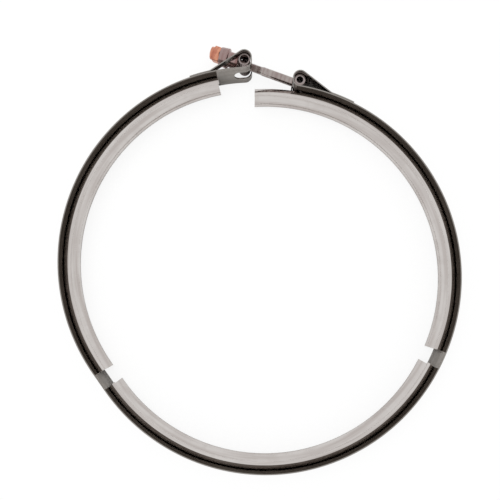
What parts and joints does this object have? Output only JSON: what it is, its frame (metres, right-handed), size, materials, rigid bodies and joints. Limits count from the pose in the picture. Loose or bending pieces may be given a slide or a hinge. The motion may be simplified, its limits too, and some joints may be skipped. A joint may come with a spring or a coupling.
{
  "type": "v band clamp",
  "caption": "Round V band clamp: V-shaped retainers inside a flat band with folded ends, closed by a T-bolt through a trunnion with sleeve and lock nut.",
  "frame": {"origin": "Centre of the circle that the bottom retainer lies on, at half the band's width. That circle is the closed clamp's own, and the arms have sprung open from it.", "axes": "+Z is the ring's axis, +Y points from the centre towards the latch, and +X is to the right with the nut on the left. Positions are metres."},
  "size_m": [0.3311, 0.3575, 0.0222],
  "materials": {
    "band_steel": "bright stainless strip, smooth",
    "retainer_steel": "bright stainless sheet, roll formed",
    "latch_steel": "bright stainless, turned",
    "bolt_steel": "bright stainless, rolled thread",
    "nut_copper": "copper-plated steel"
  },
  "bodies": {
    "ring": {"outer_band": "band_steel", "retainer_bottom": "retainer_steel"},
    "left_arm": {"retainer_left": "retainer_steel"},
    "right_arm": {"retainer_right": "retainer_steel"},
    "trunnion_tube": {"trunnion": "latch_steel"},
    "t_bolt": {"bolt_barrel": "latch_steel", "bolt_stud": "bolt_steel"},
    "sleeve_body": {"sleeve": "latch_steel"},
    "nut_body": {"lock_nut": "nut_copper"}
  },
  "joints": [
    {"name": "clamp_closing", "type": "hinge", "parent": "ring", "child": "left_arm", "pos_m": [-0.1357, -0.08381, 0], "axis": [0, 0, -1], "range_deg": [0, 5.75], "deforming": ["outer_band"]},
    {"name": "right_arm_closing", "type": "hinge", "parent": "ring", "child": "right_arm", "pos_m": [0.1452, -0.06602, 0], "axis": [0, 0, 1], "range_deg": [0, 1.16], "deforming": ["outer_band"]},
    {"name": "trunnion_swivel", "type": "hinge", "parent": "left_arm", "child": "trunnion_tube", "pos_m": [-0.01735, 0.18264, 0], "axis": [0, 0, 1], "range_deg": [0, 4.37]},
    {"name": "bolt_swivel", "type": "hinge", "parent": "right_arm", "child": "t_bolt", "pos_m": [0.02867, 0.16598, 0], "axis": [0, 0, -1], "range_deg": [0, 2.55]},
    {"name": "sleeve_slide", "type": "slide", "parent": "t_bolt", "child": "sleeve_body", "axis": [0.9403, -0.3403, 0], "range_m": [0, 0.03259]},
    {"name": "nut_turn", "type": "hinge", "parent": "sleeve_body", "child": "nut_body", "pos_m": [-0.04655, 0.19321, 0], "axis": [0.9403, -0.3403, 0], "range_deg": [0, 12929.6]}
  ],
  "couplings": [
    {"joint": "right_arm_closing", "follows": "clamp_closing", "ratio": 0.2},
    {"joint": "trunnion_swivel", "follows": "clamp_closing", "ratio": 0.7575},
    {"joint": "bolt_swivel", "follows": "clamp_closing", "ratio": 0.4425},
    {"joint": "sleeve_slide", "follows": "clamp_closing", "m_per_rad": 0.3246},
    {"joint": "nut_turn", "follows": "clamp_closing", "ratio": 2248.3}
  ]
}
